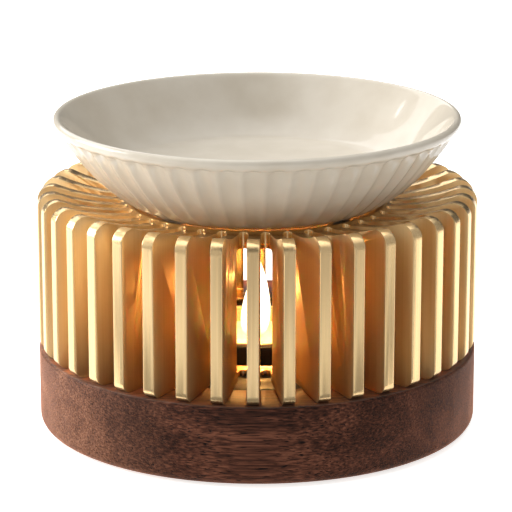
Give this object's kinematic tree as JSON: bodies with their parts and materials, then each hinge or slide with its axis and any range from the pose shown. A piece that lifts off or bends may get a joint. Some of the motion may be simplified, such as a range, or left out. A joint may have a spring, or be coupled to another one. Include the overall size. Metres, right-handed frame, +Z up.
{
  "type": "wax melt warmer",
  "caption": "Tealight wax melt warmer: a round walnut base, a ring of upright aluminium fins with windows to the flame, and a shallow fluted ceramic dish that lifts off.",
  "frame": {"origin": "middle of the underside, on the surface the warmer stands on", "axes": "+Z up along the axis of the ring, -Y towards the front window, +X to the right of someone looking at the window"},
  "size_m": [0.12, 0.12, 0.0858],
  "materials": {
    "walnut": "oiled satin",
    "pad": "matt",
    "black_steel": "satin black",
    "zinc_screw": "zinc plated",
    "steel_screw": "plain",
    "fin_aluminium": "champagne gold anodised",
    "foil": "bright pressed foil",
    "wax": "paraffin wax",
    "wick": "charred cotton",
    "glaze": "cream gloss glaze"
  },
  "bodies": {
    "base": {"wood_base": "walnut", "base_pad": "pad", "heat_shield": "black_steel", "candle_cup": "black_steel", "cup_screw": "zinc_screw", "body_screws": "steel_screw", "body_washers": "steel_screw", "body_spacers": "steel_screw", "fin_ring": "fin_aluminium"},
    "tealight": {"tealight_shell": "foil", "tealight_wax": "wax", "tealight_wick": "wick", "wick_tab": "foil"},
    "dish": {"wax_dish": "glaze"}
  },
  "joints": [
    {"name": "dish_lift", "type": "slide", "parent": "base", "child": "dish", "axis": [0, 0, 1], "range_m": [0, 0.06]},
    {"name": "tealight_lift", "type": "slide", "parent": "base", "child": "tealight", "axis": [0, 0, 1], "range_m": [0, 0.02]}
  ]
}
